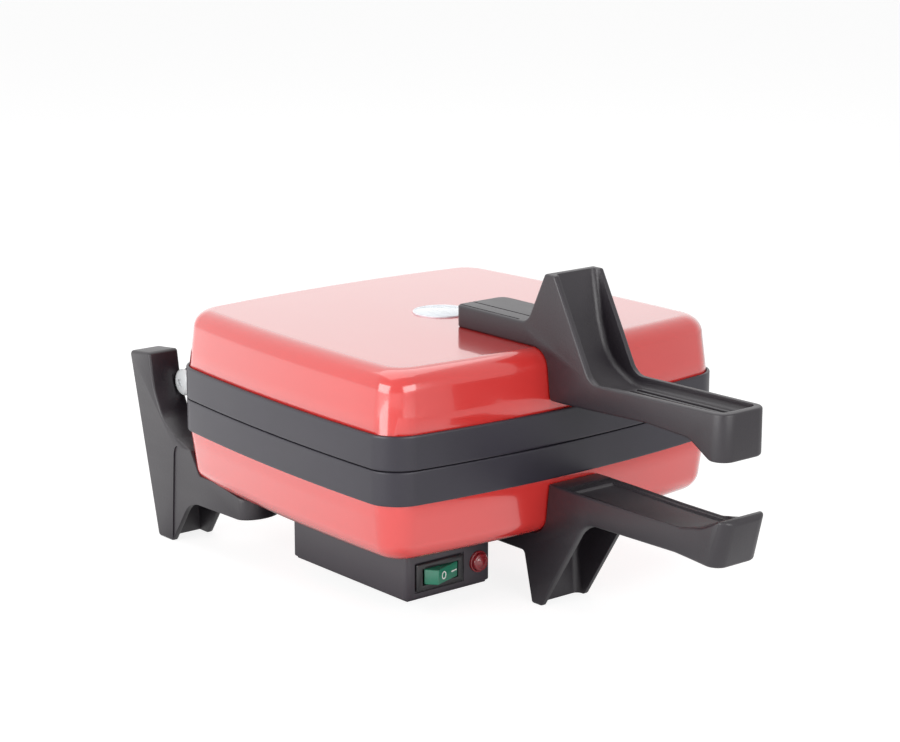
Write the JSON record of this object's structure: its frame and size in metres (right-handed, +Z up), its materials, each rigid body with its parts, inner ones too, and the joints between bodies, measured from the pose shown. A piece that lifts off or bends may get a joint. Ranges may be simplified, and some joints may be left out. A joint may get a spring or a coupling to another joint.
{
  "type": "taiyaki maker",
  "caption": "Hinged countertop taiyaki maker: red pressed shells, dark bands, cast fish moulds, long paired grips, legs and a side control box.",
  "frame": {"origin": "centre of the closed maker's bounding box in plan, on the table that its legs stand on", "axes": "+Y from the grips to the hinge, +Z up, +X to the right seen from the grips"},
  "size_m": [0.2384, 0.3954, 0.182],
  "materials": {
    "red_paint": "glossy stove enamel",
    "band_black": "satin moulded plastic",
    "grip_black": "fine grained moulded plastic",
    "mould_cast": "dark non-stick coated casting",
    "heater_steel": "heat tinted tube",
    "tray_sheet": "bright rolled sheet",
    "fastener_steel": "zinc plated",
    "terminal_ceramic": "unglazed",
    "control_ceramic": "fired body with plated tabs",
    "tag_brass": "rolled sheet",
    "screw_white": "white coated",
    "badge_sheet": "pale brushed",
    "switch_black": "polished",
    "rocker_green": "translucent green",
    "lamp_red": "translucent red",
    "lamp_white": "white",
    "bush_rubber": "matte"
  },
  "bodies": {
    "base": {"lower_shell": "red_paint", "lower_band": "band_black", "lower_handle": "grip_black", "left_bracket": "grip_black", "right_bracket": "grip_black", "control_box": "grip_black", "box_cover": "grip_black", "lower_plate": "mould_cast", "lower_heater": "heater_steel", "lower_tray": "tray_sheet", "lower_plate_screws": "fastener_steel", "lower_handle_screws": "fastener_steel", "bracket_screws": "fastener_steel", "hinge_nuts": "fastener_steel", "cover_screws": "fastener_steel", "box_screws": "fastener_steel", "lower_terminals": "terminal_ceramic", "thermostat": "control_ceramic", "earth_tag": "tag_brass", "left_hinge_screw": "screw_white", "right_hinge_screw": "screw_white", "switch_frame": "switch_black", "lamp_lens": "lamp_red", "lamp_ring": "lamp_red", "lamp_body": "lamp_white", "inlet_bush": "bush_rubber"},
    "lid": {"upper_shell": "red_paint", "upper_band": "band_black", "upper_plate": "mould_cast", "upper_heater": "heater_steel", "upper_tray": "tray_sheet", "upper_plate_screws": "fastener_steel", "upper_terminals": "terminal_ceramic", "thermal_cutout": "control_ceramic", "upper_handle": "grip_black", "upper_handle_screws": "fastener_steel", "lid_badge": "badge_sheet"},
    "switch_rocker": {"rocker": "rocker_green"}
  },
  "joints": [
    {"name": "lid_hinge", "type": "hinge", "parent": "base", "child": "lid", "pos_m": [0, 0.16715, 0.091], "axis": [-1, 0, 0], "range_deg": [0, 96]},
    {"name": "rocker_tilt", "type": "hinge", "parent": "base", "child": "switch_rocker", "pos_m": [-0.0659, -0.03475, 0.0224], "axis": [0, 0, -1], "range_deg": [0, 18]}
  ]
}
